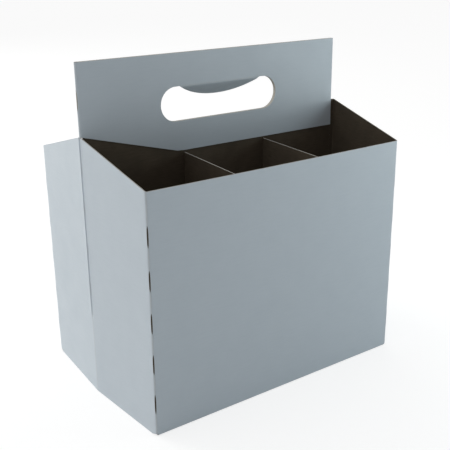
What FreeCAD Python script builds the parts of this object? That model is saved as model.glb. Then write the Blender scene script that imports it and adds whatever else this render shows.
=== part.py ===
import FreeCAD, Part
import math
import operator
import os
from types import SimpleNamespace

import Sketcher
from FreeCAD import Placement, Rotation, Vector

# Open six-cell carrier box of folded paperboard with a centre handle.
# X runs along the side walls, Y across them and Z up. The origin is the centre of the base, on the
# surface that the carrier stands on. The folded edge of the handle is at -X.
# The whole carrier is one die-cut sheet, folded and glued, so it is one body.

# Driving dimensions in millimetres, and angles in degrees.
SIZES = {
    # the sheet
    "board": 0.6,
    "fold_radius": 1.3,
    # side walls and end walls
    "wall_length": 191,
    "carrier_width": 134,
    "wall_height": 150,
    "end_rise": 18,
    "end_bulge": 4.5,
    # floor panels
    "floor_gap": 0.8,
    "lap_reach": 22,
    "joggle_run": 4,
    "seat_length": 2,
    "inner_reach": 30,
    # centre wall
    "centre_clear": 1,
    "fold_gap": 2.2,
    "seam_width": 1.8,
    "seam_depth": 0.9,
    # handle
    "handle_rise": 61,
    "handle_setback": 4,
    "fold_root": 2,
    "fold_inset": 0.1,
    "hole_length": 90,
    "hole_height": 21.6,
    "hole_drop": 20.4,
    "flap_chord": 62,
    "flap_depth": 10,
    "flap_tilt": 35,
    "flap_root": 0.3,
    # cross dividers
    "cell_pitch": 63.6,
    "divider_slant": 6,
    "divider_drop": 1.5,
    "divider_depth": 72,
    "tab_length": 12,
    # cuts along the folds
    "cut_length": 12.8,
    "cut_pitch": 25.8,
    "cut_width": 0.9,
    "cut_depth": 2,
    "cut_start": 15,
    "end_cut_drop": 12,
    "end_cut_stop": 60,
    "handle_cut_drop": 15.4,
    "handle_cut_width": 1.6,
    # how far a cutting outline runs past the board
    "overrun": 5,
}


class Size:
    """A length or angle: its present number and the formula that ties it to the spreadsheet."""

    signs = {"+": operator.add, "-": operator.sub, "*": operator.mul, "/": operator.truediv}

    def __init__(self, value, text):
        self.value = value
        self.text = text

    def combine(self, sign, other):
        """This size and another one, or a plain number, under one sign."""
        other = as_size(other)
        return Size(self.signs[sign](self.value, other.value), f"({self.text} {sign} {other.text})")

    def __add__(self, other):
        return self.combine("+", other)

    def __sub__(self, other):
        return self.combine("-", other)

    def __mul__(self, other):
        return self.combine("*", other)

    def __truediv__(self, other):
        return self.combine("/", other)

    def __neg__(self):
        return self * -1


def as_size(number):
    """A plain number as a size that is tied to nothing."""
    return number if isinstance(number, Size) else Size(number, f"({number})")


def root_of(number):
    """Square root of a size."""
    return Size(math.sqrt(number.value), f"sqrt({number.text})")


def make_sheet(doc):
    """Puts the driving dimensions in a spreadsheet, one cell with an alias for each."""
    sheet = doc.addObject("Spreadsheet::Sheet", "sizes")
    for row, (name, value) in enumerate(SIZES.items(), start=1):
        sheet.set(f"A{row}", name)
        sheet.set(f"B{row}", str(value))
        sheet.setAlias(f"B{row}", name)
    doc.recompute()


size = SimpleNamespace(**{name: Size(value, f"sizes.{name}") for name, value in SIZES.items()})

# Places that several features share.
HALF_LENGTH = size.wall_length / 2
HALF_WIDTH = size.carrier_width / 2
END_REACH = HALF_LENGTH + size.end_bulge
END_TOP = size.wall_height + size.end_rise
HANDLE_TOP = size.wall_height + size.handle_rise
HANDLE_START = size.fold_inset - END_REACH
HANDLE_END = END_REACH - size.handle_setback
HOLE_TOP = HANDLE_TOP - size.hole_drop
HOLE_BOTTOM = HOLE_TOP - size.hole_height
ROOF_SLOPE = size.end_rise / HALF_WIDTH
FLOOR_END = HALF_LENGTH - size.floor_gap
DIVIDER_TOP = size.wall_height - size.divider_drop
# How thick an end wall measures along X, because its halves stand at a slant.
END_BOARD = size.board * root_of(as_size(1) + size.end_bulge * size.end_bulge / (HALF_WIDTH * HALF_WIDTH))


def origin_part(body, role):
    """The body's own origin plane or axis that has this role."""
    return next(item for item in body.Origin.OriginFeatures if item.Role == role)


def new_sketch(body, name, plane, out=None, up=None, turn=None):
    """Sketch on an origin plane, moved out of it or along its own Y, and turned about its own X."""
    sketch = body.newObject("Sketcher::SketchObject", name)
    sketch.AttachmentSupport = (origin_part(body, plane), "")
    sketch.MapMode = "FlatFace"
    if turn:
        sketch.AttachmentOffset = Placement(Vector(), Rotation(Vector(1, 0, 0), turn.value))
        sketch.setExpression("AttachmentOffset.Rotation.Angle", turn.text)
    if out:
        sketch.setExpression("AttachmentOffset.Base.z", out.text)
    if up:
        sketch.setExpression("AttachmentOffset.Base.y", up.text)
    return sketch


def pin(sketch, element, point, kind, place):
    """Ties one coordinate of a point of the sketch to a size."""
    number = sketch.addConstraint(Sketcher.Constraint(kind, element, point, place.value))
    sketch.setExpression(f"Constraints[{number}]", place.text)


def outline(sketch, points, arcs=None):
    """Closed outline through the points, counter-clockwise.

    Every corner is tied to its two sizes. An edge whose number is in arcs is an arc about the
    centre given there, and the coordinate of the centre that its ends leave free is tied too.
    """
    arcs = arcs or {}
    places = [(as_size(x), as_size(y)) for x, y in points]
    corners = [Vector(x.value, y.value, 0) for x, y in places]
    first = sketch.GeometryCount
    for number, start in enumerate(corners):
        end = corners[(number + 1) % len(corners)]
        if number in arcs:
            x, y, _ = arcs[number]
            centre = Vector(x.value, y.value, 0)
            circle = Part.Circle(centre, Vector(0, 0, 1), start.distanceToPoint(centre))
            angles = [math.atan2(point.y - centre.y, point.x - centre.x) for point in (start, end)]
            sketch.addGeometry(Part.ArcOfCircle(circle, *angles))
        else:
            sketch.addGeometry(Part.LineSegment(start, end))
    for number, (x, y) in enumerate(places):
        element = first + number
        following = first + (number + 1) % len(places)
        sketch.addConstraint(Sketcher.Constraint("Coincident", element, 2, following, 1))
        pin(sketch, element, 1, "DistanceX", x)
        pin(sketch, element, 1, "DistanceY", y)
        if number in arcs:
            centre_x, centre_y, free = arcs[number]
            pin(sketch, element, 3, "Distance" + free, centre_x if free == "X" else centre_y)


def rectangle(sketch, low_x, high_x, low_y, high_y):
    """Upright rectangle between two places in each direction."""
    outline(sketch, [(low_x, low_y), (high_x, low_y), (high_x, high_y), (low_x, high_y)])


def add_board(body, name, sketch, length, both_sides=False, reverse=False):
    """Pad of a sketch by a length."""
    pad = body.newObject("PartDesign::Pad", name)
    pad.Profile = sketch
    pad.SideType = "Symmetric" if both_sides else "One side"
    pad.Reversed = reverse
    pad.setExpression("Length", length.text)
    pad.Refine = True
    return pad


def cut_board(body, name, sketch, length=None, both_sides=False, reverse=False):
    """Pocket of a sketch by a length, or through everything."""
    pocket = body.newObject("PartDesign::Pocket", name)
    pocket.Profile = sketch
    pocket.SideType = "Symmetric" if both_sides else "One side"
    pocket.Reversed = reverse
    if length:
        pocket.setExpression("Length", length.text)
    else:
        pocket.Type = "ThroughAll"
    pocket.Refine = True
    return pocket


def repeat(body, name, original, mirrors=(), count=None, pitch=None, reverse=False):
    """Copies of a feature: a row along Z and mirror images, by one multiple transformation."""
    steps = []
    if count:
        row = body.Document.addObject("PartDesign::LinearPattern", name + "_row")
        row.Direction = (origin_part(body, "Z_Axis"), [""])
        row.Reversed = reverse
        row.Mode = "Spacing"
        row.setExpression("Offset", pitch.text)
        row.setExpression("Occurrences", count)
        steps.append(row)
    for plane in mirrors:
        image = body.Document.addObject("PartDesign::Mirrored", f"{name}_{plane}")
        image.MirrorPlane = (origin_part(body, plane), [""])
        steps.append(image)
    copies = body.newObject("PartDesign::MultiTransform", name)
    copies.Originals = [original]
    copies.Transformations = steps
    copies.Refine = True
    body.Tip = copies
    return copies


def near(number, place):
    """Whether a coordinate lies at a size."""
    return math.isclose(number, place.value, abs_tol=1e-4)


def round_edges(body, name, base, edges, radius):
    """Fillet on the named edges."""
    fillet = body.newObject("PartDesign::Fillet", name)
    fillet.Base = (base, edges)
    fillet.setExpression("Radius", radius.text)
    body.Tip = fillet
    return fillet


def fold_edges(shape, half_length, half_width):
    """Names of the four upright corner edges of the tray and of its two long edges at the floor."""
    names = []
    for number, edge in enumerate(shape.Edges, start=1):
        at_corners = all(near(abs(end.X), half_length) and near(abs(end.Y), half_width) for end in edge.Vertexes)
        if at_corners and edge.BoundBox.ZMin < size.fold_radius.value:
            names.append(f"Edge{number}")
    return names


def end_wall_inside(across):
    """How far along X the inner face of an end wall lies at a distance from the centre plane."""
    return END_REACH - END_BOARD - size.end_bulge * as_size(across) / HALF_WIDTH


def add_walls(body):
    """Side walls, end walls and floor: a six-cornered tray whose ends rise to their centre fold."""
    plan = new_sketch(body, "wall_plan", "XY_Plane")
    outline(plan, [(-HALF_LENGTH, -HALF_WIDTH), (HALF_LENGTH, -HALF_WIDTH), (END_REACH, 0),
                   (HALF_LENGTH, HALF_WIDTH), (-HALF_LENGTH, HALF_WIDTH), (-END_REACH, 0)])
    block = add_board(body, "wall_block", plan, END_TOP)
    roof = new_sketch(body, "top_edge", "YZ_Plane")
    past = HALF_WIDTH + size.overrun
    eaves = size.wall_height - size.overrun * ROOF_SLOPE
    ridge = END_TOP + size.overrun
    outline(roof, [(-past, eaves), (0, END_TOP), (past, eaves), (past, ridge), (-past, ridge)])
    block = cut_board(body, "top_cut", roof, both_sides=True)
    body.Document.recompute()
    folds = fold_edges(block.Shape, HALF_LENGTH, HALF_WIDTH)
    round_edges(body, "outer_folds", block, folds, size.fold_radius)
    inside = new_sketch(body, "inner_plan", "XY_Plane", out=size.board)
    inner_width = HALF_WIDTH - size.board
    inner_length = end_wall_inside(inner_width)
    outline(inside, [(-inner_length, -inner_width), (inner_length, -inner_width), (end_wall_inside(0), 0),
                     (inner_length, inner_width), (-inner_length, inner_width), (-end_wall_inside(0), 0)])
    cavity = cut_board(body, "cavity", inside, reverse=True)
    body.Document.recompute()
    folds = fold_edges(cavity.Shape, inner_length, inner_width)
    round_edges(body, "inner_folds", cavity, folds, size.fold_radius - size.board)


def free_floor_ends(body):
    """Slots between the straight ends of the floor and the end walls, which stand free of it."""
    plan = new_sketch(body, "floor_slots", "XY_Plane")
    side = HALF_WIDTH - size.fold_radius
    inner_side = end_wall_inside(side)
    inner_centre = end_wall_inside(0)
    for sign in (1, -1):
        outline(plan, [(FLOOR_END * sign, side * -sign), (inner_side * sign, side * -sign),
                       (inner_centre * sign, 0),
                       (inner_side * sign, side * sign), (FLOOR_END * sign, side * sign)])
    cut_board(body, "floor_slot_cut", plan, size.board, reverse=True)


def add_floor_lap(body):
    """The two floor panels: the rear one steps up onto the front one and is glued to it."""
    step = size.lap_reach + size.joggle_run
    gap = new_sketch(body, "lap_gap", "XY_Plane")
    rectangle(gap, -FLOOR_END, FLOOR_END, size.lap_reach, step)
    cut_board(body, "lap_gap_cut", gap, size.board, reverse=True)
    section = new_sketch(body, "joggle_section", "YZ_Plane")
    rise = size.board * 2
    seat = step + size.seat_length
    outline(section, [(-size.inner_reach, size.board), (size.lap_reach, size.board), (step, 0), (seat, 0),
                      (seat, size.board), (step + size.board / 4, size.board),
                      (size.lap_reach + size.board / 4, rise), (-size.inner_reach, rise)])
    add_board(body, "joggle", section, FLOOR_END * 2, both_sides=True)


def add_centre_wall(body):
    """Two inner plies, folded in from the right end wall, that stand between the two rows of cells."""
    face = new_sketch(body, "centre_outline", "XZ_Plane")
    start = -END_REACH + size.fold_gap
    low = size.board * 2 + size.centre_clear
    fold = END_REACH - END_BOARD / 2
    outline(face, [(start, low), (fold, low), (fold, END_TOP - size.board), (HANDLE_END, END_TOP),
                   (HANDLE_END, HANDLE_TOP), (start, HANDLE_TOP)])
    add_board(body, "centre_wall", face, size.board * 2, both_sides=True)
    seam = new_sketch(body, "seam_plan", "XY_Plane")
    past = END_REACH + size.overrun
    outline(seam, [(END_REACH - size.seam_depth, 0), (past, -size.seam_width / 2), (past, size.seam_width / 2)])
    cut_board(body, "fold_seam", seam, reverse=True)


def add_handle(body):
    """Two outer plies joined by a fold at the left edge, glued over the centre wall."""
    bend = HANDLE_START + size.board * 2
    face = new_sketch(body, "handle_outline", "XZ_Plane", out=size.board)
    outline(face, [(bend, END_TOP - ROOF_SLOPE * size.board * 2), (HALF_WIDTH - END_REACH, size.wall_height),
                   (HANDLE_END, size.wall_height), (HANDLE_END, HANDLE_TOP), (bend, HANDLE_TOP)])
    ply = add_board(body, "handle_ply", face, size.board)
    repeat(body, "handle_plies", ply, mirrors=["XZ_Plane"])
    root = END_TOP - size.fold_root
    plan = new_sketch(body, "fold_plan", "XY_Plane", out=root)
    outline(plan, [(bend, size.board * 2), (bend, -size.board * 2)], arcs={0: (bend, as_size(0), "X")})
    add_board(body, "handle_fold", plan, HANDLE_TOP - root)
    channel = new_sketch(body, "channel_plan", "XY_Plane", out=root)
    outline(channel, [(bend, size.board), (bend, -size.board)], arcs={0: (bend, as_size(0), "X")})
    cut_board(body, "fold_channel", channel, reverse=True)


def cut_hand_hole(body):
    """Hand hole with round ends through every ply of the handle."""
    face = new_sketch(body, "hole_outline", "XZ_Plane")
    radius = size.hole_height / 2
    straight = size.hole_length / 2 - radius
    middle = HOLE_BOTTOM + radius
    outline(face, [(-straight, HOLE_BOTTOM), (straight, HOLE_BOTTOM), (straight, HOLE_TOP), (-straight, HOLE_TOP)],
            arcs={1: (straight, middle, "X"), 3: (-straight, middle, "X")})
    cut_board(body, "hand_hole", face, size.board * 8, both_sides=True)


def add_hole_flap(body):
    """Crescent flap at the top of the hand hole, folded back as a soft edge for the fingers."""
    front_ply = size.board * 1.5
    face = new_sketch(body, "flap_outline", "XZ_Plane", out=front_ply, up=HOLE_TOP, turn=size.flap_tilt)
    half = size.flap_chord / 2
    radius = (half * half + size.flap_depth * size.flap_depth) / (size.flap_depth * 2)
    centre = radius - size.flap_depth
    outline(face, [(-half, size.flap_root), (-half, 0), (half, 0), (half, size.flap_root)],
            arcs={1: (as_size(0), centre, "Y")})
    add_board(body, "hole_flap", face, size.board, both_sides=True)


def add_dividers(body):
    """Four cross webs between the centre wall and the side walls, each with a glue tab on the wall."""
    bottom = DIVIDER_TOP - size.divider_depth
    plan = new_sketch(body, "divider_plan", "XY_Plane", out=bottom)
    wall = -HALF_WIDTH + size.board
    lean = size.divider_slant / 2
    for side in (-1, 1):
        middle = size.cell_pitch * side / 2
        at_wall = middle - lean
        outline(plan, [(at_wall, wall), (at_wall + size.tab_length, wall),
                       (at_wall + size.tab_length, wall + size.board),
                       (at_wall + size.board, wall + size.board),
                       (middle + lean + size.board, -size.board), (middle + lean, -size.board)])
    web = add_board(body, "dividers", plan, size.divider_depth)
    repeat(body, "divider_rows", web, mirrors=["XZ_Plane"])


def cut_corner_folds(body):
    """Row of short cuts along each of the four corner folds."""
    plan = new_sketch(body, "corner_cut_plan", "XY_Plane", out=size.cut_start)
    half = size.cut_width / math.sqrt(8)
    outer = size.cut_depth / 2
    outline(plan, [(-HALF_LENGTH - outer - half, -HALF_WIDTH - outer + half),
                   (-HALF_LENGTH - outer + half, -HALF_WIDTH - outer - half),
                   (-HALF_LENGTH + size.cut_depth + half, -HALF_WIDTH + size.cut_depth - half),
                   (-HALF_LENGTH + size.cut_depth - half, -HALF_WIDTH + size.cut_depth + half)])
    slot = cut_board(body, "corner_cut", plan, size.cut_length, reverse=True)
    count = (size.wall_height - size.cut_start) / size.cut_pitch
    repeat(body, "corner_cuts", slot, ["XZ_Plane", "YZ_Plane"], f"floor({count.text})", size.cut_pitch)


def cut_end_fold(body):
    """Row of short cuts down the centre fold of the left end wall, and one in the handle's fold."""
    top = END_TOP - size.end_cut_drop
    plan = new_sketch(body, "end_cut_plan", "XY_Plane", out=top)
    half = size.cut_width / 2
    rectangle(plan, -END_REACH - size.cut_depth, -END_REACH + size.cut_depth, -half, half)
    slot = cut_board(body, "end_cut", plan, size.cut_length)
    count = (top - size.end_cut_stop) / size.cut_pitch
    repeat(body, "end_cuts", slot, [], f"ceil({count.text})", size.cut_pitch, reverse=True)
    plan = new_sketch(body, "handle_cut_plan", "XY_Plane", out=HANDLE_TOP - size.handle_cut_drop)
    half = size.handle_cut_width / 2
    rectangle(plan, -END_REACH - size.cut_depth, -END_REACH + size.cut_depth, -half, half)
    cut_board(body, "handle_cut", plan, size.cut_length)


def make_carrier(doc):
    """The folded carrier as one body."""
    body = doc.addObject("PartDesign::Body", "folded_carrier")
    body.Label = "folded_carrier"
    body.Placement = Placement(Vector(0, 0, 0), Rotation())
    add_walls(body)
    free_floor_ends(body)
    add_floor_lap(body)
    add_centre_wall(body)
    add_handle(body)
    cut_hand_hole(body)
    add_hole_flap(body)
    add_dividers(body)
    cut_corner_folds(body)
    cut_end_fold(body)
    return body


def check(doc, bodies):
    """Stops the build if an object of the document failed or a shape is empty or not valid."""
    failed = [item.Label for item in doc.Objects if {"Invalid", "Error"} & set(item.State)]
    if failed:
        raise RuntimeError("failed features: " + ", ".join(failed))
    for body in bodies:
        if body.Shape.isNull() or not body.Shape.isValid() or len(body.Shape.Solids) != 1:
            raise RuntimeError(f"{body.Label} isn't one valid solid")


def main():
    """Builds the carrier and writes its STEP file."""
    doc = FreeCAD.newDocument("bottle_carrier")
    make_sheet(doc)
    bodies = [make_carrier(doc)]
    doc.recompute()
    check(doc, bodies)
    os.makedirs("parts", exist_ok=True)
    for body in bodies:
        body.Shape.exportStep(f"parts/{body.Label}.step")
        box = body.Shape.BoundBox
        print(f"{body.Label}: {box.XLength:.1f} x {box.YLength:.1f} x {box.ZLength:.1f} mm, "
              f"{body.Shape.Volume / 1000:.1f} cm3")


main()
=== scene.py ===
"""Studio picture of an open six-cell carrier box of folded paperboard.

The board is built as thin sheets: a coated skin, a bare skin and the cut edges between them. Each sheet
is a grid of points, worked out as a plan or section line of straight runs and arcs that is carried
along a second direction. Sizes are in millimetres until a mesh is made. X runs along the side walls,
Y across them, and Z is up.
"""
import logging
import math
from dataclasses import dataclass, field
from enum import IntEnum

import bpy
import numpy as np
from mathutils import Matrix, Vector


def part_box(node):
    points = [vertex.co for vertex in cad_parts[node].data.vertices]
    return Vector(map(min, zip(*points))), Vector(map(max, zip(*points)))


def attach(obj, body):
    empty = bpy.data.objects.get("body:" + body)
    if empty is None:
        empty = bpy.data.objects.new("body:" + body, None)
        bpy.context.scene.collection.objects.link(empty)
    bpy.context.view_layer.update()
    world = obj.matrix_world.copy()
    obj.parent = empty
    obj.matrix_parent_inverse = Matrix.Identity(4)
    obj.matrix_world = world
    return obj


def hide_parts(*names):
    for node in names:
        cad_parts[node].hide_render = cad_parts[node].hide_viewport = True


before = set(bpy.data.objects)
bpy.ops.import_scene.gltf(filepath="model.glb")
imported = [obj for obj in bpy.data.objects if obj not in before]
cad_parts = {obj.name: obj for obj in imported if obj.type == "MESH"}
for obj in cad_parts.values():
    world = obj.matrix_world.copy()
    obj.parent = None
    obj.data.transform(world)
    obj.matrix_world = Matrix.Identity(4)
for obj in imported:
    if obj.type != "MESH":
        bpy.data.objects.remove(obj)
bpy.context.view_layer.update()        # bodies, nodes, joints, record

log = logging.getLogger("carrier_box")

NODE = "folded_carrier"
MM = 0.001
WELD_MM = 1e-4
EDGE_REST = 0.15         # least wear distance, so that an edge itself isn't rubbed through
CORNER_FOLDS = (1, 2, 4, 5)
CENTRE_FOLD = 3          # folds of the belt are counted from the seam
SHARP_ANGLE = math.radians(35)


class Side(IntEnum):
    """Which finish a face of the board takes. The value is its material slot."""

    COATED = 0
    # The bare finish also serves as painted shade on the rims of the open cuts and on the centre wall's left
    # end faces.
    BARE_AND_PAINTED_SHADE = 1
    CUT = 2


@dataclass(frozen=True)
class CutLine:
    """A row of cuts along a fold: the middle of each, their length and how wide they open."""

    middles: tuple
    length: float
    width: float

    def opening(self, height: np.ndarray) -> np.ndarray:
        """How far the cuts are open at a height, from 0 to 1.

        A cut opens as a half ellipse: the root of one minus the squared distance from its middle,
        counted in half lengths.

        Args:
            height: heights in millimetres, of any shape.

        Returns:
            Openings of the same shape.
        """
        offset = (height[..., None] - np.array(self.middles)) / (self.length / 2)
        return np.sqrt(np.clip(1 - offset**2, 0, None)).max(axis=-1)


@dataclass(frozen=True)
class BlankSizes:
    """Sizes of the folded blank, in millimetres."""

    half_length: float
    half_width: float
    height: float
    board: float = 0.6
    fold_radius: float = 1.3
    seam_radius: float = 0.9
    handle_radius: float = 1.2
    end_bulge: float = 4.5
    wall_height: float = 150.0
    end_rise: float = 18.0
    handle_setback: float = 4.0
    cut_start: float = 15.0
    cut_pitch: float = 25.8
    cut_length: float = 12.8
    end_cut_drop: float = 12.0
    wall_bow: float = 0.5

    @classmethod
    def from_frame(cls) -> "BlankSizes":
        """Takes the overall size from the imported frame."""
        low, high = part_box(NODE)
        return cls(half_length=-low.x / MM, half_width=high.y / MM, height=high.z / MM)

    @property
    def corner_x(self) -> float:
        """Where the side walls end."""
        return self.half_length - self.end_bulge

    @property
    def end_top(self) -> float:
        """Top of the end walls at their centre fold."""
        return self.wall_height + self.end_rise

    @property
    def handle_end(self) -> float:
        """Open end of the handle."""
        return self.half_length - self.handle_setback

    def bow(self, points: np.ndarray) -> np.ndarray:
        """Moves points out with the soft bow of the side walls.

        The push along Y is a half cosine of X times the squared height times the distance from the
        centre wall, each as a share of the wall's own size.

        Args:
            points: points in millimetres, the last axis being X, Y and Z.

        Returns:
            The moved points.
        """
        x, y, z = np.moveaxis(points, -1, 0)
        along = np.cos(np.clip(x / self.corner_x, -1, 1) * math.pi / 2)
        push = self.wall_bow * along * np.clip(z / self.wall_height, 0, 1) ** 2 * y / self.half_width
        moved = points.copy()
        moved[..., 1] += push
        return moved


class FoldLine:
    """A line of straight runs joined by tangent arcs, walked by the distance along it."""

    def __init__(self, points: list, radii: list) -> None:
        """Lays out the runs and arcs.

        Args:
            points: corners of the line, its two ends included.
            radii: radius of the arc at each inner corner.
        """
        corners = np.array(points, float)
        legs = np.diff(corners, axis=0)
        lengths = np.hypot(*legs.T)
        headings = np.arctan2(legs[:, 1], legs[:, 0])
        turns = (np.diff(headings) + math.pi) % (2 * math.pi) - math.pi
        trims = np.array(radii, float) * np.tan(np.abs(turns) / 2)
        straight = lengths - np.append(trims, 0) - np.insert(trims, 0, 0)
        arcs = np.array(radii, float) * np.abs(turns)
        runs = np.insert(straight[1:], np.arange(len(arcs)), arcs)
        self.starts = np.cumsum(np.concatenate([[0, straight[0]], runs[:-1]]))
        self.length = float(straight.sum() + arcs.sum())
        self.curvature = np.zeros(len(self.starts))
        self.curvature[1::2] = np.sign(turns) / np.array(radii, float)
        self.heading = np.repeat(headings, 2)[:-1]
        self.fold_middle = self.starts[1::2] + arcs / 2
        self.fold_half = arcs / 2
        self.origin = np.zeros((len(self.starts), 2))
        self.origin[0] = corners[0]
        for index in range(1, len(self.starts)):
            place, _ = self.at(self.starts[index : index + 1], np.array([index - 1]))
            self.origin[index] = place[0]

    def at(self, distance: np.ndarray, piece: np.ndarray | None = None) -> tuple[np.ndarray, np.ndarray]:
        """Places and outward normals along the line.

        On an arc the point lies at the end of a chord: its length is the distance times the sine of
        half the turn over half the turn, and it points half the turn away from the arc's start.

        Args:
            distance: distances along the line, of any shape.
            piece: number of the run or arc to follow, also past its ends. By default the one that
                holds the distance.

        Returns:
            Places and unit normals on the right-hand side, with a last axis of two.
        """
        if piece is None:
            piece = np.clip(np.searchsorted(self.starts, distance, side="right") - 1, 0, None)
        walked = distance - self.starts[piece]
        turn = self.curvature[piece] * walked
        chord = walked * np.sinc(turn / (2 * math.pi))
        middle = self.heading[piece] + turn / 2
        place = self.origin[piece] + chord[..., None] * np.stack([np.cos(middle), np.sin(middle)], -1)
        last = self.heading[piece] + turn
        return place, np.stack([np.sin(last), -np.cos(last)], -1)


@dataclass
class Sheet:
    """A piece of board as two grids of points, one on each skin.

    The first index runs along u and the second along v, and u times v points out of the skin. The
    sides name the finish of both skins, of the edges round holes and of the first and last column.
    """

    skin: np.ndarray
    back: np.ndarray
    blank: np.ndarray
    wear: np.ndarray
    skin_side: Side = Side.COATED
    back_side: Side = Side.BARE_AND_PAINTED_SHADE
    hole_side: Side = Side.CUT
    start_side: Side = Side.CUT
    end_side: Side = Side.CUT
    kept: np.ndarray = field(init=False)

    def __post_init__(self) -> None:
        """Keeps every cell of the grid, until some are taken out."""
        self.kept = np.ones((self.wear.shape[0] - 1, self.wear.shape[1] - 1), bool)

    def faces(self) -> tuple[np.ndarray, np.ndarray]:
        """Corner numbers and finish of every face: both skins, and the edges round what is kept."""
        nu, nv = self.skin.shape[:2]
        front = np.arange(nu * nv).reshape(nu, nv)
        rear = front + nu * nv
        a, b = np.nonzero(self.kept)
        quads = [
            np.stack([front[a, b], front[a + 1, b], front[a + 1, b + 1], front[a, b + 1]], 1),
            np.stack([rear[a, b], rear[a, b + 1], rear[a + 1, b + 1], rear[a + 1, b]], 1),
        ]
        sides = [np.full(len(a), self.skin_side), np.full(len(a), self.back_side)]
        padded = np.pad(self.kept, 1)
        rims = (
            ((0, -1), (1, 0), (0, 0)),
            ((0, 1), (0, 1), (1, 1)),
            ((-1, 0), (0, 0), (0, 1)),
            ((1, 0), (1, 1), (1, 0)),
        )
        for (da, db), (a1, b1), (a2, b2) in rims:
            open_side = ~padded[a + 1 + da, b + 1 + db]
            c, d = a[open_side], b[open_side]
            first, second = (c + a1, d + b1), (c + a2, d + b2)
            quads.append(np.stack([front[first], front[second], rear[second], rear[first]], 1))
            within = (c + da >= 0) & (c + da < nu - 1) & (d + db >= 0) & (d + db < nv - 1)
            border = np.where(c + da >= nu - 1, self.end_side, Side.CUT)
            border = np.where(c + da < 0, self.start_side, border)
            sides.append(np.where(within, self.hole_side, border))
        return np.concatenate(quads), np.concatenate(sides)


def swept_sheet(
    skin_line: tuple[np.ndarray, np.ndarray],
    board: float,
    heights: np.ndarray,
    wear: np.ndarray,
    **sides: Side,
) -> Sheet:
    """Plan line carried up along Z.

    Args:
        skin_line: places and normals of the plan line, one per column or one per grid point.
        board: thickness of the board.
        heights: grid of heights, columns by rows.
        wear: distance of each grid point from the nearest fold or cut edge.
        sides: skin_side, back_side, hole_side, start_side and end_side, where they differ from a
            coated skin, a bare back and cut edges.

    Returns:
        The sheet, with every cell kept.
    """
    place, normal = skin_line
    if place.ndim == 2:
        place = np.repeat(place[:, None], heights.shape[1], axis=1)
        normal = np.repeat(normal[:, None], heights.shape[1], axis=1)
    skin = np.concatenate([place, heights[..., None]], -1)
    back = np.concatenate([place - board * normal, heights[..., None]], -1)
    run = np.hypot(*np.moveaxis(np.diff(place[:, 0], axis=0), -1, 0))
    along = np.insert(np.cumsum(run), 0, 0)
    blank = np.stack([np.broadcast_to(along[:, None], heights.shape), heights], -1)
    return Sheet(skin, back, blank, wear, **sides)


def board_object(name: str, sheets: list[Sheet], materials: list) -> bpy.types.Object:
    """Welds sheets into one closed piece of board.

    Corners that lie on one spot become one, and two faces on the same four corners lie inside the
    board, where one sheet carries on as the next, so both are left out.

    Args:
        name: name of the piece.
        sheets: its sheets.
        materials: the coated, bare and cut-edge materials.

    Returns:
        The object, riding on the root body in place of the plain solid.
    """
    points, quads, sides, blanks, wears = [], [], [], [], []
    total = 0
    for sheet in sheets:
        faces, side = sheet.faces()
        quads.append(faces + total)
        sides.append(side)
        points += [sheet.skin.reshape(-1, 3), sheet.back.reshape(-1, 3)]
        blanks += [sheet.blank.reshape(-1, 2)] * 2
        wears += [sheet.wear.reshape(-1)] * 2
        total += 2 * sheet.wear.size
    points, quads, sides, blanks, wears = map(np.concatenate, (points, quads, sides, blanks, wears))
    spots = np.round(points / WELD_MM).astype(int)
    _, first, index = np.unique(spots, axis=0, return_index=True, return_inverse=True)
    welded = index.reshape(-1)[quads]
    _, group, count = np.unique(np.sort(welded, axis=1), axis=0, return_inverse=True, return_counts=True)
    shown = count[group.reshape(-1)] == 1
    quads, welded, sides = quads[shown], welded[shown], sides[shown]

    mesh = bpy.data.meshes.new(name)
    mesh.from_pydata((points[first] * MM).tolist(), [], welded.tolist())
    for material in materials:
        mesh.materials.append(material)
    mesh.polygons.foreach_set("material_index", sides.astype(np.int32))
    mesh.polygons.foreach_set("use_smooth", np.ones(len(welded), bool))
    layer = mesh.uv_layers.new(name="blank")
    layer.data.foreach_set("uv", (blanks[quads.reshape(-1)] * MM).astype(np.float32).ravel())
    wear = mesh.attributes.new("edge_distance", "FLOAT", "POINT")
    wear.data.foreach_set("value", wears[first].astype(np.float32))
    mesh.set_sharp_from_angle(angle=SHARP_ANGLE)
    mesh.validate()
    mesh.update()
    piece = bpy.data.objects.new(name, mesh)
    bpy.context.scene.collection.objects.link(piece)
    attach(piece, "root")
    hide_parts(NODE)
    log.info("%s: %d faces", name, len(welded))
    return piece


def steps(start: float, end: float, spacing: float) -> np.ndarray:
    """Even places between two ends, the first end included and the last left out."""
    return np.linspace(start, end, max(1, math.ceil(abs(end - start) / spacing)), endpoint=False)


def fold_columns(
    line: FoldLine, halves: np.ndarray, shares: list[np.ndarray], spacing: float
) -> tuple[np.ndarray, np.ndarray, np.ndarray, np.ndarray]:
    """Columns of a grid along a line with folds.

    Each fold has a column at either lip, and more from there out to its reach. The runs between the
    folds are filled evenly.

    Args:
        line: the line.
        halves: reach of each fold to either side of its middle.
        shares: for each fold, where its columns stand, as shares of the way from lip to reach.
        spacing: widest step on the runs between.

    Returns:
        For each column: its distance along the line, the number of its fold or -1, its side of the
        fold and its share of the way from lip to reach.
    """
    distance, fold, side, share = [], [], [], []
    place = 0.0
    for number, (middle, half, parts) in enumerate(zip(line.fold_middle, halves, shares)):
        filled = steps(place, middle - half, spacing)
        around = np.concatenate([[1.0], parts[::-1], parts])
        sides = np.repeat([-1.0, 1.0], [len(parts) + 1, len(parts)])
        distance += [*filled, *(middle + sides * around * half)]
        fold += [-1] * len(filled) + [number] * len(around)
        side += [0.0] * len(filled) + [*sides]
        share += [1.0] * len(filled) + [*around]
        place = middle + half
    filled = np.append(steps(place, line.length, spacing), line.length)
    distance += [*filled]
    fold += [-1] * len(filled)
    side += [0.0] * len(filled)
    share += [1.0] * len(filled)
    return np.array(distance), np.array(fold), np.array(side), np.array(share)


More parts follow.
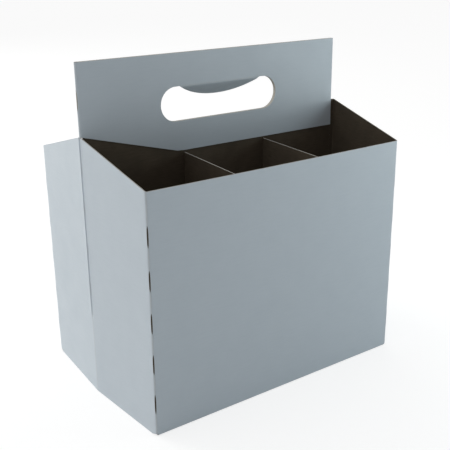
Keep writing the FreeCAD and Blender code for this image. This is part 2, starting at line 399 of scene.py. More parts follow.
@dataclass(frozen=True)
class WallsAndFloor:
    """The belt of side and end walls with the two floor panels folded in from it."""

    sizes: BlankSizes
    spacing: float = 3.5
    cut_width: float = 0.8
    lip: float = 0.07
    corner_cuts: int = 5
    end_cuts: int = 4
    groove_depth: float = 0.8
    groove_reach: float = 2.4
    groove_places: tuple = (0.5, 0.9, 1.4, 2.4)
    groove_shares: tuple = (1.0, -0.15, -0.1, 0.0)
    groove_foot: float = 50.0
    groove_fade: float = 12.0
    lap_edge: float = 22.0
    joggle_run: float = 4.0
    joggle_radius: float = 4.0
    inner_reach: float = 30.0
    glue_gap: float = 0.02
    centre_radius: float = 1.0
    fold_shares: tuple = (0.0, 0.35, 0.7)
    centre_shares: tuple = (0.0, 0.2, 0.36, 0.57)
    row_step: float = 1.9
    arc_step: float = 0.35
    floor_step: float = 6.0
    foot_rest: float = 0.5
    floor_rest: float = 0.3

    def row_pair(self) -> tuple[np.ndarray, np.ndarray]:
        """Heights of the grid's rows at a corner fold and at the centre fold of an end wall.

        Both lists pass through the ends of their own cuts, so the same rows serve both folds.

        Returns:
            The two lists of heights, equally long.
        """
        s = self.sizes
        corner = [0.0]
        for cut in range(self.corner_cuts):
            start = s.cut_start + cut * s.cut_pitch
            corner += [start, start + s.cut_length]
        rest = s.wall_height - corner[-1]
        corner += [corner[-1] + rest / 3, corner[-1] + rest * 2 / 3, s.wall_height]
        end = corner[: 1 + 2 * (self.corner_cuts + 1 - self.end_cuts)]
        for cut in reversed(range(self.end_cuts)):
            top = s.end_top - s.end_cut_drop - cut * s.cut_pitch
            end += [top - s.cut_length, top]
        end.append(s.end_top)
        corner_rows, end_rows = [], []
        for low, high, low_end, high_end in zip(corner, corner[1:], end, end[1:]):
            count = max(2, math.ceil(max(high - low, high_end - low_end) / self.row_step))
            corner_rows.append(np.linspace(low, high, count, endpoint=False))
            end_rows.append(np.linspace(low_end, high_end, count, endpoint=False))
        corner_rows.append(corner[-1:])
        end_rows.append(end[-1:])
        return np.concatenate(corner_rows), np.concatenate(end_rows)

    def cut_lines(self) -> tuple[CutLine, CutLine]:
        """The cuts of a corner fold and those of the left end's centre fold."""
        s = self.sizes
        half = s.cut_length / 2
        corner = tuple(s.cut_start + half + cut * s.cut_pitch for cut in range(self.corner_cuts))
        end = tuple(s.end_top - s.end_cut_drop - half - cut * s.cut_pitch for cut in range(self.end_cuts))
        return CutLine(corner, s.cut_length, self.cut_width), CutLine(end, s.cut_length, self.cut_width)

    def belt(self) -> Sheet:
        """The walls as one band, from the seam at the right end round to the seam again.

        The plan line has a fold at each corner, a slight one at the left end's centre and a turn
        inward on each side of the seam. A column of the grid stands at each lip of a fold, and where
        the fold is cut the lips move apart and its two sides run on straight.

        Returns:
            The sheet, without the cells of the open cuts.
        """
        s = self.sizes
        seam, side = s.half_length, self.glue_gap
        corner = (s.corner_x, s.half_width)
        line = FoldLine(
            [(s.handle_end, side), (seam, side), corner, (-corner[0], corner[1]), (-seam, 0),
             (-corner[0], -corner[1]), (corner[0], -corner[1]), (seam, -side), (s.handle_end, -side)],
            [s.seam_radius, s.fold_radius, s.fold_radius, self.centre_radius, s.fold_radius, s.fold_radius,
             s.seam_radius],
        )
        corner_cuts, end_cuts = self.cut_lines()
        halves = line.fold_half.copy()
        halves[CENTRE_FOLD] = self.groove_reach
        shares = [np.array(self.fold_shares)] * len(halves)
        shares[CENTRE_FOLD] = np.array(self.centre_shares)
        column, fold, side_sign, share_out = fold_columns(line, halves, shares, self.spacing)

        corner_rows, end_rows = self.row_pair()
        across, _ = line.at(column)
        share = np.clip(1 - np.abs(across[:, 1]) / s.half_width, 0, 1)[:, None]
        heights = (1 - share) * corner_rows + share * end_rows
        on_side = (np.abs(across[:, 1]) > s.half_width - s.fold_radius)[:, None]
        heights = heights + on_side * s.fold_radius * np.clip(1 - heights / s.cut_start, 0, 1)

        is_corner = np.isin(fold, CORNER_FOLDS)[:, None]
        is_centre = (fold == CENTRE_FOLD)[:, None]
        opening = is_corner * corner_cuts.opening(heights) + is_centre * end_cuts.opening(heights)
        lip = self.lip + (self.cut_width / 2 - self.lip) * opening
        reach = lip + share_out[:, None] * (halves[fold][:, None] - lip)
        middles = line.fold_middle[fold][:, None]
        distance = np.where(fold[:, None] < 0, column[:, None], middles + side_sign[:, None] * reach)
        offset = distance - middles
        straight = 2 * fold[:, None] + np.where(side_sign[:, None] < 0, 0, 2)
        bent = line.at(distance)
        flat = line.at(distance, np.where(is_corner, straight, 0))
        weight = (is_corner * opening)[..., None]
        xy = bent[0] + weight * (flat[0] - bent[0])
        normal = bent[1] + weight * (flat[1] - bent[1])
        normal /= np.linalg.norm(normal, axis=-1, keepdims=True)
        groove = np.interp(np.abs(offset), self.groove_places, self.groove_shares) * is_centre
        fade = np.clip((heights - self.groove_foot) / self.groove_fade, 0, 1)
        xy = xy - (self.groove_depth * groove * fade)[..., None] * normal

        to_fold = np.abs(column[:, None] - line.fold_middle).min(axis=1)[:, None]
        top = (heights[:, -1:] - heights) + EDGE_REST
        wear = np.minimum(np.minimum(to_fold, top), heights + self.foot_rest)
        # The rims of the open cuts take the dark bare finish in place of the pale cut edge, as painted shade
        # inside the cuts.
        sheet = swept_sheet((xy, normal), s.board, heights, wear, hole_side=Side.BARE_AND_PAINTED_SHADE)
        sheet.skin, sheet.back = s.bow(sheet.skin), s.bow(sheet.back)

        middle_row = (heights[:-1, :-1] + heights[1:, 1:]) / 2
        cut_here = is_corner[:-1] * corner_cuts.opening(middle_row)
        cut_here = cut_here + is_centre[:-1] * end_cuts.opening(middle_row)
        between_lips = ((side_sign[:-1] < 0) & (share_out[:-1] == 0))[:, None]
        sheet.kept &= ~(between_lips & (cut_here > 0))
        return sheet

    def floor_panel(self, belt: Sheet, rear: bool) -> Sheet:
        """A floor panel, as its section line carried along X over the columns of the wall above it.

        Args:
            belt: the walls, whose lowest row the panel joins.
            rear: True for the panel that rises over the other one as the glued inner ply.

        Returns:
            The sheet.
        """
        s = self.sizes
        reach, radius = s.half_width, s.fold_radius
        if rear:
            lift = s.board + self.glue_gap
            line = FoldLine(
                [(-self.inner_reach, lift), (self.lap_edge, lift), (self.lap_edge + self.joggle_run, 0),
                 (reach, 0), (reach, radius)],
                [self.joggle_radius, self.joggle_radius, radius],
            )
        else:
            line = FoldLine([(-self.lap_edge, 0), (reach, 0), (reach, radius)], [radius])
        spans = [
            steps(start, end, self.arc_step if number % 2 else self.floor_step)
            for number, (start, end) in enumerate(zip(line.starts, line.starts[1:]))
        ]
        rows = np.concatenate([*spans, line.starts[-1:]])
        place, normal = line.at(rows)
        lowest = belt.skin[:, 0]
        on_wall = (lowest[:, 1] > 0) == rear
        straight = (np.abs(lowest[:, 1]) > reach - WELD_MM) & (np.abs(lowest[:, 0]) < s.corner_x - radius / 2)
        columns = lowest[on_wall & straight, 0]
        forward = 1 if rear else -1
        grid = (len(columns), len(rows))
        x = np.broadcast_to(columns[:, None], grid)

        def spread(section: np.ndarray) -> np.ndarray:
            """Section points, as distance across and height, repeated in every column."""
            y = np.broadcast_to(forward * section[:, 0], grid)
            return np.stack([x, y, np.broadcast_to(section[:, 1], grid)], -1)

        to_end = np.minimum(rows, s.corner_x)[None] + np.zeros(grid)
        blank = np.stack([x, np.broadcast_to(rows, grid)], -1)
        wear = to_end + self.floor_rest
        return Sheet(spread(place), spread(place - s.board * normal), blank, wear)

    def build(self, materials: list) -> bpy.types.Object:
        """Walls and floor as one piece."""
        belt = self.belt()
        sheets = [belt, self.floor_panel(belt, False), self.floor_panel(belt, True)]
        return board_object("walls_and_floor", sheets, materials)


@dataclass(frozen=True)
class HandHole:
    """The hole in the handle: straight above and below, round at both ends."""

    half_length: float = 45.0
    radius: float = 10.8
    middle: float = 179.8
    turn_columns: int = 10
    level_columns: int = 14

    def edge(self, x: np.ndarray) -> np.ndarray:
        """Half the hole's height at a place along it: a quarter circle at each end, zero outside."""
        past = np.clip(np.abs(x) - (self.half_length - self.radius), 0, self.radius)
        return np.sqrt(np.clip(self.radius**2 - past**2, 0, None))

    def columns(self) -> np.ndarray:
        """Places along the hole, close together at its round ends."""
        straight = self.half_length - self.radius
        turn = np.linspace(0, math.pi / 2, self.turn_columns)
        end = straight + self.radius * np.sin(turn)
        level = np.linspace(-straight, straight, self.level_columns)[1:-1]
        return np.concatenate([-end[::-1], level, end])


@dataclass(frozen=True)
class Handle:
    """The plies of the handle: two outer plies joined by the left fold, and the centre wall between."""

    sizes: BlankSizes
    hole: HandHole = HandHole()
    start: float = -98.7
    low_slope_end: float = -33.0
    low_start: float = 167.7
    wall_start: float = -97.8
    wall_bottom: float = 2.2
    nick_low: float = 182.8
    nick_length: float = 12.8
    nick_width: float = 1.6
    ply_gap: float = 0.03
    lift: float = 0.12
    lift_height: float = 6.0
    lift_run: float = 15.0
    lip: float = 0.05
    spacing: float = 5.0
    fold_step: float = 3.0
    ply_rows: int = 8
    wall_rows: int = 44
    upper_rows: int = 7
    bend_start: float = 0.8
    bend_columns: int = 5
    no_hole: float = 50.0

    def lower_edge(self, x: np.ndarray) -> np.ndarray:
        """Lower edge of the outer plies: down from the left fold to the wall's height, then level."""
        return np.interp(x, [self.start, self.low_slope_end], [self.low_start, self.sizes.wall_height])

    def columns(self, start: float) -> np.ndarray:
        """Places of a ply's columns, from a start to the open end of the handle."""
        end = self.hole.half_length
        left, right = steps(start, -end, self.spacing), steps(self.sizes.handle_end, end, self.spacing)
        return np.concatenate([left, self.hole.columns(), right[::-1]])

    def rows(self, x: np.ndarray, low: np.ndarray, low_count: int) -> tuple[np.ndarray, int]:
        """Heights of a ply's grid, which part at the hole.

        Below the hole they run evenly from the lower edge to the hole's, and above it from the hole's
        edge to the top. Beside the hole the two lists meet at its middle height.

        Args:
            x: places of the columns.
            low: lower edge at those places.
            low_count: rows below the hole.

        Returns:
            Grid of heights, and the number of the row at the hole's lower edge.
        """
        hole, top = self.hole, self.sizes.height
        below, above = hole.middle - hole.edge(x), hole.middle + hole.edge(x)
        up = np.linspace(0, 1, low_count + 1)
        span = top - hole.middle
        nick = np.linspace(self.nick_low, self.nick_low + self.nick_length, self.upper_rows) - hole.middle
        over = np.concatenate([[0], nick, np.linspace(nick[-1], span, self.upper_rows)[1:]]) / span
        lower = low[:, None] + (below - low)[:, None] * up
        upper = above[:, None] + (top - above)[:, None] * over
        return np.concatenate([lower, upper], axis=1), low_count

    def outer_plies(self) -> Sheet:
        """Both outer plies and the round fold between them, from the rear ply's open end to the front's.

        Returns:
            The sheet, without the cells of the hand hole and of the nick in the fold.
        """
        s = self.sizes
        reach, left = 2 * s.board, self.start - s.handle_radius
        line = FoldLine(
            [(s.handle_end, reach), (left, reach), (left, -reach), (s.handle_end, -reach)],
            [s.handle_radius] * 2,
        )
        flat = np.insert(self.columns(self.start + self.fold_step), 0, self.start)
        bend = line.starts[2] - line.starts[1]
        middle = line.starts[2]
        parts = np.linspace(self.bend_start, 0, self.bend_columns)
        share = np.concatenate([parts, parts[::-1]])
        sign = np.repeat([0.0, -1.0, 1.0, 0.0], [len(flat), len(parts), len(parts), len(flat)])
        is_round = sign != 0
        column = np.concatenate([s.handle_end - flat[::-1], middle + sign[is_round] * share * bend,
                                 line.starts[4] + flat - self.start])
        x = np.concatenate([flat[::-1], np.full(len(share), self.start), flat])
        heights, split = self.rows(x, self.lower_edge(x), self.ply_rows)
        nick = CutLine((self.nick_low + self.nick_length / 2,), self.nick_length, self.nick_width)
        lip = self.lip + (self.nick_width / 2 - self.lip) * nick.opening(heights[is_round])
        distance = np.repeat(column[:, None], heights.shape[1], axis=1)
        distance[is_round] = middle + sign[is_round][:, None] * (lip + share[:, None] * (bend - lip))
        place, normal = line.at(distance)
        near = np.clip(1 - (heights - heights[:, :1]) / self.lift_height, 0, 1)
        near = near * np.clip((x - self.start) / self.lift_run, 0, 1)[:, None]
        place = place + (self.lift * near)[..., None] * normal
        to_fold = np.abs(column - middle)[:, None]
        edge = np.minimum(heights - heights[:, :1], heights[:, -1:] - heights)
        hole_edge = np.abs(np.abs(heights - self.hole.middle) - self.hole.edge(x)[:, None])
        hole_edge = hole_edge + self.no_hole * (np.abs(x) > self.hole.half_length)[:, None]
        wear = np.minimum(np.minimum(to_fold, edge), hole_edge) + EDGE_REST
        sheet = swept_sheet((place, normal), s.board - self.ply_gap, heights, wear)
        sheet.kept[:, split] = False
        middle_row = (heights[:-1, :-1] + heights[1:, 1:]) / 2
        first_lip = np.zeros(len(column) - 1, bool)
        first_lip[len(flat) + len(parts) - 1] = True
        sheet.kept &= ~(first_lip[:, None] & (nick.opening(middle_row) > 0))
        return sheet

    def centre_plies(self) -> list[Sheet]:
        """The two plies of the centre wall, bare side out, left end faces dark with painted shade behind the
        left end's cuts.
        """
        s = self.sizes
        x = self.columns(self.wall_start)
        sheets = []
        for forward in (-1, 1):
            order = x if forward < 0 else x[::-1]
            heights, split = self.rows(order, np.full(len(order), self.wall_bottom), self.wall_rows)
            place = np.stack([order, np.full(len(order), forward * s.board)], -1)
            normal = np.stack([np.zeros(len(order)), np.full(len(order), float(forward))], -1)
            wear = np.minimum(heights[:, -1:] - heights, heights - self.wall_bottom) + EDGE_REST
            # The left end faces take the dark bare finish in place of the cut edge, as painted shade behind
            # the left end's cuts.
            painted_shade_end = "start_side" if forward < 0 else "end_side"
            sides = {"skin_side": Side.BARE_AND_PAINTED_SHADE, "back_side": Side.COATED, painted_shade_end: Side.BARE_AND_PAINTED_SHADE}
            sheet = swept_sheet((place, normal), s.board - self.ply_gap, heights, wear, **sides)
            sheet.kept[:, split] = False
            sheets.append(sheet)
        return sheets

    def build(self, materials: list) -> list[bpy.types.Object]:
        """The outer plies and the centre wall."""
        return [
            board_object("handle_plies", [self.outer_plies()], materials),
            board_object("centre_wall", self.centre_plies(), materials),
        ]


@dataclass(frozen=True)
class HoleFlap:
    """The crescent of the front ply that is folded back out of the hand hole."""

    sizes: BlankSizes
    hinge_height: float = 190.6
    half_chord: float = 31.0
    depth: float = 10.0
    tilt: float = 35.0
    bend: float = 1.6
    curl: float = 6.0
    chord_share: float = 0.995
    columns: int = 41
    free_rows: int = 9
    hinge_rows: int = 7
    hinge_shares: tuple = (0.25, 0.2)
    samples: int = 24

    def turn(self, walked: np.ndarray) -> np.ndarray:
        """Turn of the section at a distance from the hinge: the tilt within the bend, then the curl."""
        tilt = math.radians(self.tilt) * np.clip(walked / self.bend, 0, 1)
        return tilt + math.radians(self.curl) * walked / self.depth

    def build(self, materials: list) -> bpy.types.Object:
        """The flap as a sheet: its section bends at the hinge and then runs on with a slight curl.

        The depth at a place along the chord is that of a circle through the chord's ends and the
        flap's lowest point.
        """
        s = self.sizes
        radius = (self.half_chord**2 + self.depth**2) / (2 * self.depth)
        swing = np.linspace(-math.pi / 2, math.pi / 2, self.columns)
        x = self.half_chord * self.chord_share * np.sin(swing)
        depth = np.sqrt(radius**2 - x**2) - (radius - self.depth)
        free, hinge = self.hinge_shares
        share = np.concatenate([np.linspace(1, free, self.free_rows), np.linspace(hinge, 0, self.hinge_rows)])
        reach = depth[:, None] * share
        sample = (np.arange(self.samples) + 0.5) / self.samples
        angle, turn = self.turn(reach[..., None] * sample), self.turn(reach)
        y = reach * np.sin(angle).mean(axis=-1) - 2 * s.board
        z = self.hinge_height - reach * np.cos(angle).mean(axis=-1)
        grid = np.broadcast_to(x[:, None], y.shape)
        skin = np.stack([grid, y, z], -1)
        normal = np.stack([np.zeros_like(y), -np.cos(turn), -np.sin(turn)], -1)
        blank = np.stack([grid, reach], -1)
        wear = np.minimum(depth[:, None] - reach, reach) + EDGE_REST
        sheet = Sheet(skin, skin - s.board * normal, blank, wear)
        return board_object("hole_flap", [sheet], materials)


@dataclass(frozen=True)
class Dividers:
    """The cross dividers: each a web from side wall to centre wall, with a tab glued to the side wall."""

    sizes: BlankSizes
    pitch: float = 63.6
    slant: float = 6.0
    drop: float = 1.5
    depth: float = 72.0
    tab: float = 12.0
    glue_gap: float = 0.03
    tab_step: float = 3.0
    web_step: float = 3.5
    bend_columns: int = 7

    def web(self, wall_x: float, rear: bool) -> Sheet:
        """One divider, as its plan line carried up.

        Args:
            wall_x: where the web leaves the side wall.
            rear: True for the row behind the centre wall.

        Returns:
            The sheet, with its coated skin towards +X.
        """
        s = self.sizes
        inner = s.half_width - s.board - self.glue_gap
        skin_y, skin_x = -(inner - s.board), wall_x + s.board
        radius = s.fold_radius - s.board
        centre = (skin_x + self.slant, -s.board - self.glue_gap)
        line = FoldLine([(wall_x + self.tab, skin_y), (skin_x, skin_y), centre], [radius])
        middle, half = line.fold_middle[0], line.fold_half[0]
        column = np.concatenate(
            [steps(0, middle - half, self.tab_step),
             middle + half * np.linspace(-1, 1, self.bend_columns)[:-1],
             steps(middle + half, line.length, self.web_step), [line.length]]
        )
        top = s.wall_height - self.drop
        height = np.append(steps(top - self.depth, top, self.tab_step), top)
        heights = np.broadcast_to(height, (len(column), len(height)))
        edge = np.minimum(top - heights, heights - height[0])
        wear = np.minimum(edge, np.abs(column - middle)[:, None]) + EDGE_REST
        sheet = swept_sheet(line.at(column), s.board, heights, wear)
        sheet.skin, sheet.back = s.bow(sheet.skin), s.bow(sheet.back)
        if rear:
            for name in ("skin", "back", "blank", "wear"):
                setattr(sheet, name, getattr(sheet, name)[::-1].copy())
            sheet.skin[..., 1] *= -1
            sheet.back[..., 1] *= -1
        return sheet

    def build(self, materials: list) -> list[bpy.types.Object]:
        """All four dividers."""
        wall_right = (self.pitch - self.slant) / 2
        made = []
        for row, rear in (("front", False), ("rear", True)):
            for side, wall_x in (("left", wall_right - self.pitch), ("right", wall_right)):
                made.append(board_object(f"divider_{row}_{side}", [self.web(wall_x, rear)], materials))
        return made


def add_node(tree: bpy.types.NodeTree, kind: str, **values) -> bpy.types.Node:
    """Adds a node and sets its properties, or its inputs where the word names an input.

    Args:
        tree: tree that gets the node.
        kind: Blender's name of the node type.
        values: properties, or inputs with spaces written as underscores.

    Returns:
        The node.
    """
    node = tree.nodes.new(kind)
    for word, value in values.items():
        if hasattr(node, word):
            setattr(node, word, value)
        else:
            node.inputs[word.replace("_", " ")].default_value = value
    return node


def live(sockets: bpy.types.bpy_prop_collection) -> list:
    """The sockets that count for the node's present kind of data.

    Args:
        sockets: inputs or outputs of a node.

    Returns:
        Those that are enabled, in their order.
    """
    return [socket for socket in sockets if socket.enabled]


def split_by_ray(
    tree: bpy.types.NodeTree, usual: bpy.types.NodeSocket, special: bpy.types.NodeSocket, rays: tuple
) -> bpy.types.NodeSocket:
    """Mixes two shaders by the kind of ray that meets them.

    Args:
        tree: tree that gets the nodes.
        usual: shader for all other rays.
        special: shader for the named kinds of ray.
        rays: the kinds of ray.

    Returns:
        The mixed shader.
    """
    path = add_node(tree, "ShaderNodeLightPath")
    named = path.outputs[f"Is {rays[0]} Ray"]
    for ray in rays[1:]:
        either = add_node(tree, "ShaderNodeMath", operation="MAXIMUM")
        tree.links.new(named, either.inputs[0])
        tree.links.new(path.outputs[f"Is {ray} Ray"], either.inputs[1])
        named = either.outputs["Value"]
    mix = add_node(tree, "ShaderNodeMixShader")
    for source, socket in zip((named, usual, special), mix.inputs):
        tree.links.new(source, socket)
    return mix.outputs["Shader"]


def new_group(name: str, inputs: dict, outputs: tuple) -> tuple:
    """Starts a shader node group with named number inputs and outputs.

    Args:
        name: name of the group.
        inputs: default value of each input.
        outputs: names of the outputs.

    Returns:
        The group with its input and output nodes.
    """
    group = bpy.data.node_groups.new(name, "ShaderNodeTree")
    for word, value in inputs.items():
        socket = group.interface.new_socket(word, in_out="INPUT", socket_type="NodeSocketFloat")
        socket.default_value = value
    for word in outputs:
        group.interface.new_socket(word, in_out="OUTPUT", socket_type="NodeSocketFloat")
    return group, group.nodes.new("NodeGroupInput"), group.nodes.new("NodeGroupOutput")


def fibre_group() -> bpy.types.NodeTree:
    """Paper fibre: long soft streaks, cloudy formation and fine grain, as masks and one height."""
    group, given, result = new_group(
        "paper_fibre",
        {"Streak Scale": 90.0, "Cloud Scale": 60.0, "Grain Scale": 1600.0},
        ("Streak", "Cloud", "Grain", "Height"),
    )
    link = group.links.new
    uv = add_node(group, "ShaderNodeUVMap", uv_map="blank")
    place = add_node(group, "ShaderNodeTexCoord")
    stretched = add_node(group, "ShaderNodeMapping", Scale=(1.0, 9.0, 1.0))
    link(uv.outputs["UV"], stretched.inputs["Vector"])
    masks = {}
    for word, source, detail, roughness in (
        ("Streak", stretched.outputs["Vector"], 6.0, 0.6),
        ("Cloud", place.outputs["Object"], 4.0, 0.55),
        ("Grain", place.outputs["Object"], 3.0, 0.7),
    ):
        noise = add_node(group, "ShaderNodeTexNoise", Detail=detail, Roughness=roughness)
        link(source, noise.inputs["Vector"])
        link(given.outputs[f"{word} Scale"], noise.inputs["Scale"])
        masks[word] = noise.outputs["Fac"]
        link(masks[word], result.inputs[word])
    height = add_node(group, "ShaderNodeMath", operation="ADD")
    link(masks["Streak"], height.inputs[0])
    link(masks["Grain"], height.inputs[1])
    link(height.outputs["Value"], result.inputs["Height"])
    return group


def wear_group() -> bpy.types.NodeTree:
    """Rubbed folds and edges: a mask that is full at a fold or cut edge and breaks up away from it."""
    group, given, result = new_group("edge_wear", {"Reach": 1.2, "Break Scale": 420.0}, ("Mask",))
    link = group.links.new
    distance = add_node(group, "ShaderNodeAttribute", attribute_name="edge_distance")
    share = add_node(group, "ShaderNodeMath", operation="DIVIDE")
    link(distance.outputs["Fac"], share.inputs[0])
    link(given.outputs["Reach"], share.inputs[1])
    place = add_node(group, "ShaderNodeTexCoord")
    noise = add_node(group, "ShaderNodeTexNoise", Detail=4.0)
    link(place.outputs["Object"], noise.inputs["Vector"])
    link(given.outputs["Break Scale"], noise.inputs["Scale"])
    rest = add_node(group, "ShaderNodeMath", operation="SUBTRACT")
    link(noise.outputs["Fac"], rest.inputs[0])
    link(share.outputs["Value"], rest.inputs[1])
    mask = add_node(group, "ShaderNodeMapRange", interpolation_type="SMOOTHSTEP",
                    From_Min=-0.2, From_Max=0.55)
    link(rest.outputs["Value"], mask.inputs["Value"])
    link(mask.outputs["Result"], result.inputs["Mask"])
    return group


@dataclass(frozen=True)
class BoardFinish:
    """One face of the paperboard: its colours and how smooth it is."""

    name: str
    colour: tuple
    shade: tuple
    worn: tuple
    cloud_amount: float
    streak_amount: float
    wear_amount: float
    wear_reach: float
    roughness: float
    roughness_spread: float
    bump: float
    streak_scale: float = 90.0
    specular: float = 0.5

    def material(self, fibre: bpy.types.NodeTree, wear: bpy.types.NodeTree) -> bpy.types.Material:
        """Builds the material.

        Args:
            fibre: the paper fibre group.
            wear: the edge wear group.

        Returns:
            The material: a base colour clouded and streaked towards its shade, rubbed at the edges.
        """
        material = bpy.data.materials.new(self.name)
        material.use_nodes = True
        tree = material.node_tree
        link = tree.links.new
        shader = tree.nodes["Principled BSDF"]
        shader.inputs["Specular IOR Level"].default_value = self.specular
        paper = add_node(tree, "ShaderNodeGroup", node_tree=fibre)
        paper.inputs["Streak Scale"].default_value = self.streak_scale
        rubbed = add_node(tree, "ShaderNodeGroup", node_tree=wear)
        rubbed.inputs["Reach"].default_value = self.wear_reach

        def blend(
            colour: tuple | bpy.types.NodeSocket, target: tuple, mask: bpy.types.NodeSocket,
            low: float, high: float, amount: float,
        ) -> bpy.types.NodeSocket:
            """Mixes a colour towards a target by a mask that is spread between two levels."""
            spread = add_node(tree, "ShaderNodeMapRange", From_Min=low, From_Max=high, To_Max=amount)
            link(mask, spread.inputs["Value"])
            mix = add_node(tree, "ShaderNodeMix", data_type="RGBA")
            factor, first, second = live(mix.inputs)
            link(spread.outputs["Result"], factor)
            if isinstance(colour, tuple):
                first.default_value = (*colour, 1)
            else:
                link(colour, first)
            second.default_value = (*target, 1)
            return live(mix.outputs)[0]

        colour = blend(self.colour, self.shade, paper.outputs["Cloud"], 0.35, 0.75, self.cloud_amount)
        colour = blend(colour, self.shade, paper.outputs["Streak"], 0.45, 0.75, self.streak_amount)
        colour = blend(colour, self.shade, paper.outputs["Grain"], 0.5, 0.8, self.streak_amount)
        colour = blend(colour, self.worn, rubbed.outputs["Mask"], 0.0, 1.0, self.wear_amount)
        link(colour, shader.inputs["Base Color"])
        low, high = self.roughness - self.roughness_spread, self.roughness + self.roughness_spread
        rough = add_node(tree, "ShaderNodeMapRange", From_Min=0.3, From_Max=0.7, To_Min=low, To_Max=high)
        link(paper.outputs["Cloud"], rough.inputs["Value"])
        link(rough.outputs["Result"], shader.inputs["Roughness"])
        bump = add_node(tree, "ShaderNodeBump", Strength=self.bump, Distance=0.00008)
        link(paper.outputs["Height"], bump.inputs["Height"])
        link(bump.outputs["Normal"], shader.inputs["Normal"])
        return material


COATED_SKIN = BoardFinish(
    name="coated_pale_board", colour=(0.575, 0.635, 0.69), shade=(0.52, 0.58, 0.635), worn=(0.55, 0.56, 0.56),
    cloud_amount=0.3, streak_amount=0.35, wear_amount=0.45, wear_reach=1.0,
    roughness=0.42, roughness_spread=0.05, bump=0.15,
)
# Bare brown board. Its colour is partly the board's own brown and partly painted shade: it is set dark to
# stand in for the shade inside the cells. On the rims of the open cuts and on the centre wall's left end
# faces this finish is painted shade alone.
BARE_SKIN_AND_PAINTED_SHADE = BoardFinish(
    name="bare_brown_board_and_painted_shade", colour=(0.097, 0.075, 0.051), shade=(0.059, 0.045, 0.031),
    worn=(0.13, 0.105, 0.078), cloud_amount=0.6, streak_amount=0.8, wear_amount=0.6, wear_reach=0.7,
    roughness=0.82, roughness_spread=0.08, bump=0.55, streak_scale=140.0, specular=0.25,
)
CUT_EDGE = BoardFinish(
    name="cut_board_edge", colour=(0.5, 0.48, 0.44), shade=(0.4, 0.38, 0.34), worn=(0.55, 0.53, 0.5),
    cloud_amount=0.5, streak_amount=0.6, wear_amount=0.3, wear_reach=0.6,
    roughness=0.9, roughness_spread=0.05, bump=0.8, specular=0.2,
)


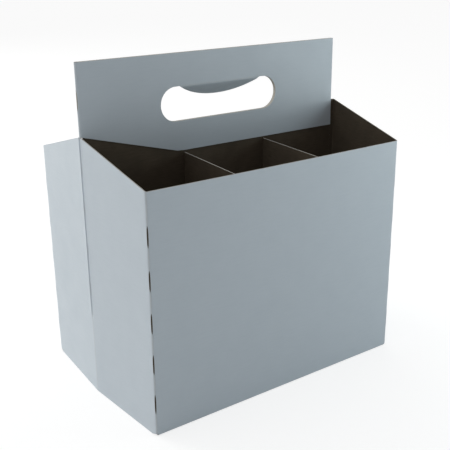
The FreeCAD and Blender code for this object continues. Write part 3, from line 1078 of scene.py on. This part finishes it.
@dataclass(frozen=True)
class Studio:
    """Camera, lights, floor and backdrop."""

    camera_place: tuple = (-0.2879, -0.4110, 0.2685)
    yaw: float = 35.27
    pitch: float = 19.29
    roll: float = -0.7
    lens: float = 62.44
    floor_size: float = 12.0
    lamp_target: tuple = (0.0, 0.0, 0.09)
    bright_side: tuple = (-0.35, 0.8, 0.45)
    turn_over: float = 0.9
    bright_colour: tuple = (0.900, 0.900, 0.900)
    dim_colour: tuple = (0.000, 0.000, 0.000)

    def add_camera(self) -> None:
        """Camera at the photograph's place, turned by its yaw, pitch and roll."""
        yaw, pitch, roll = (math.radians(angle) for angle in (self.yaw, self.pitch, self.roll))
        ahead = Vector((math.sin(yaw) * math.cos(pitch), math.cos(yaw) * math.cos(pitch), -math.sin(pitch)))
        level = ahead.cross(Vector((0, 0, 1))).normalized()
        above = level.cross(ahead)
        right = math.cos(roll) * level + math.sin(roll) * above
        up = -math.sin(roll) * level + math.cos(roll) * above
        data = bpy.data.cameras.new("studio_camera")
        data.lens = self.lens
        data.sensor_width = 36.0
        camera = bpy.data.objects.new("studio_camera", data)
        turn = Matrix((right, up, -ahead)).transposed().to_4x4()
        camera.matrix_world = Matrix.Translation(self.camera_place) @ turn
        bpy.context.scene.collection.objects.link(camera)
        bpy.context.scene.camera = camera

    def add_world(self) -> None:
        """Light from all round, brighter behind the box, and plain white where it is looked at."""
        world = bpy.data.worlds.new("studio_world")
        bpy.context.scene.world = world
        world.use_nodes = True
        tree = world.node_tree
        link = tree.links.new
        tree.nodes.clear()
        direction = add_node(tree, "ShaderNodeTexCoord")
        facing = add_node(tree, "ShaderNodeVectorMath", operation="DOT_PRODUCT")
        link(direction.outputs["Generated"], facing.inputs[0])
        facing.inputs[1].default_value = Vector(self.bright_side).normalized()
        share = add_node(tree, "ShaderNodeMapRange", interpolation_type="SMOOTHSTEP",
                         From_Min=-self.turn_over, From_Max=self.turn_over)
        link(facing.outputs["Value"], share.inputs["Value"])
        tint = add_node(tree, "ShaderNodeMix", data_type="RGBA")
        factor, dim, bright = live(tint.inputs)
        link(share.outputs["Result"], factor)
        dim.default_value = (*self.dim_colour, 1)
        bright.default_value = (*self.bright_colour, 1)
        soft = add_node(tree, "ShaderNodeBackground", Strength=1.0)
        link(live(tint.outputs)[0], soft.inputs["Color"])
        white = add_node(tree, "ShaderNodeBackground", Color=(1.0, 1.0, 1.0, 1.0), Strength=1.0)
        out = add_node(tree, "ShaderNodeOutputWorld")
        both = (soft.outputs["Background"], white.outputs["Background"])
        link(split_by_ray(tree, *both, ("Camera", "Glossy", "Transmission")), out.inputs["Surface"])

    def add_lamp(self, name: str, place: tuple, size: float, power: float, colour: tuple) -> None:
        """Square soft lamp that faces the middle of the box.

        Args:
            name: name of the lamp.
            place: where it stands, in metres.
            size: length of its side, in metres.
            power: power in watts.
            colour: colour of its light.
        """
        data = bpy.data.lights.new(name, "AREA")
        data.shape = "SQUARE"
        data.size = size
        data.energy = power
        data.color = colour
        lamp = bpy.data.objects.new(name, data)
        towards = Vector(self.lamp_target) - Vector(place)
        lamp.matrix_world = Matrix.Translation(place) @ towards.to_track_quat("-Z", "Y").to_matrix().to_4x4()
        lamp.visible_camera = False
        bpy.context.scene.collection.objects.link(lamp)

    def add_floor(self) -> None:
        """Pale floor that runs out into the white backdrop and keeps the box's soft shadow."""
        half = self.floor_size / 2
        mesh = bpy.data.meshes.new("studio_floor")
        corners = [(-half, -half, 0), (half, -half, 0), (half, half, 0), (-half, half, 0)]
        mesh.from_pydata(corners, [], [(0, 1, 2, 3)])
        floor = bpy.data.objects.new("studio_floor", mesh)
        bpy.context.scene.collection.objects.link(floor)
        material = bpy.data.materials.new("studio_floor")
        material.use_nodes = True
        tree = material.node_tree
        link = tree.links.new
        tree.nodes.clear()
        pale = add_node(tree, "ShaderNodeBsdfDiffuse", Color=(0.72, 0.73, 0.74, 1.0))
        shown = add_node(tree, "ShaderNodeBsdfDiffuse", Color=(0.36, 0.36, 0.36, 1.0))
        glow = add_node(tree, "ShaderNodeEmission", Color=(1.0, 1.0, 1.0, 1.0), Strength=0.73)
        bright = add_node(tree, "ShaderNodeAddShader")
        link(shown.outputs["BSDF"], bright.inputs[0])
        link(glow.outputs["Emission"], bright.inputs[1])
        out = add_node(tree, "ShaderNodeOutputMaterial")
        both = (pale.outputs["BSDF"], bright.outputs["Shader"])
        link(split_by_ray(tree, *both, ("Camera", "Glossy")), out.inputs["Surface"])
        mesh.materials.append(material)

    def build(self) -> None:
        """The whole studio."""
        self.add_camera()
        self.add_world()
        self.add_lamp("back_lamp", (-0.7, 1.6, 0.6), 0.9, 14.5, (0.97, 1.0, 0.95))
        self.add_lamp("right_lamp", (0.45, -0.32, 0.2), 0.35, 0.87, (0.84, 0.98, 1.00))
        self.add_floor()
        bpy.context.scene.view_settings.view_transform = "Standard"
        log.info("studio: camera, world, lamps and floor")


def main() -> None:
    """Builds the carrier and the studio."""
    logging.basicConfig(level=logging.INFO, format="%(name)s %(message)s")
    Studio().build()
    fibre, wear = fibre_group(), wear_group()
    materials = [finish.material(fibre, wear) for finish in (COATED_SKIN, BARE_SKIN_AND_PAINTED_SHADE, CUT_EDGE)]
    sizes = BlankSizes.from_frame()
    WallsAndFloor(sizes).build(materials)
    Handle(sizes).build(materials)
    HoleFlap(sizes).build(materials)
    Dividers(sizes).build(materials)


if __name__ == "__main__":
    main()
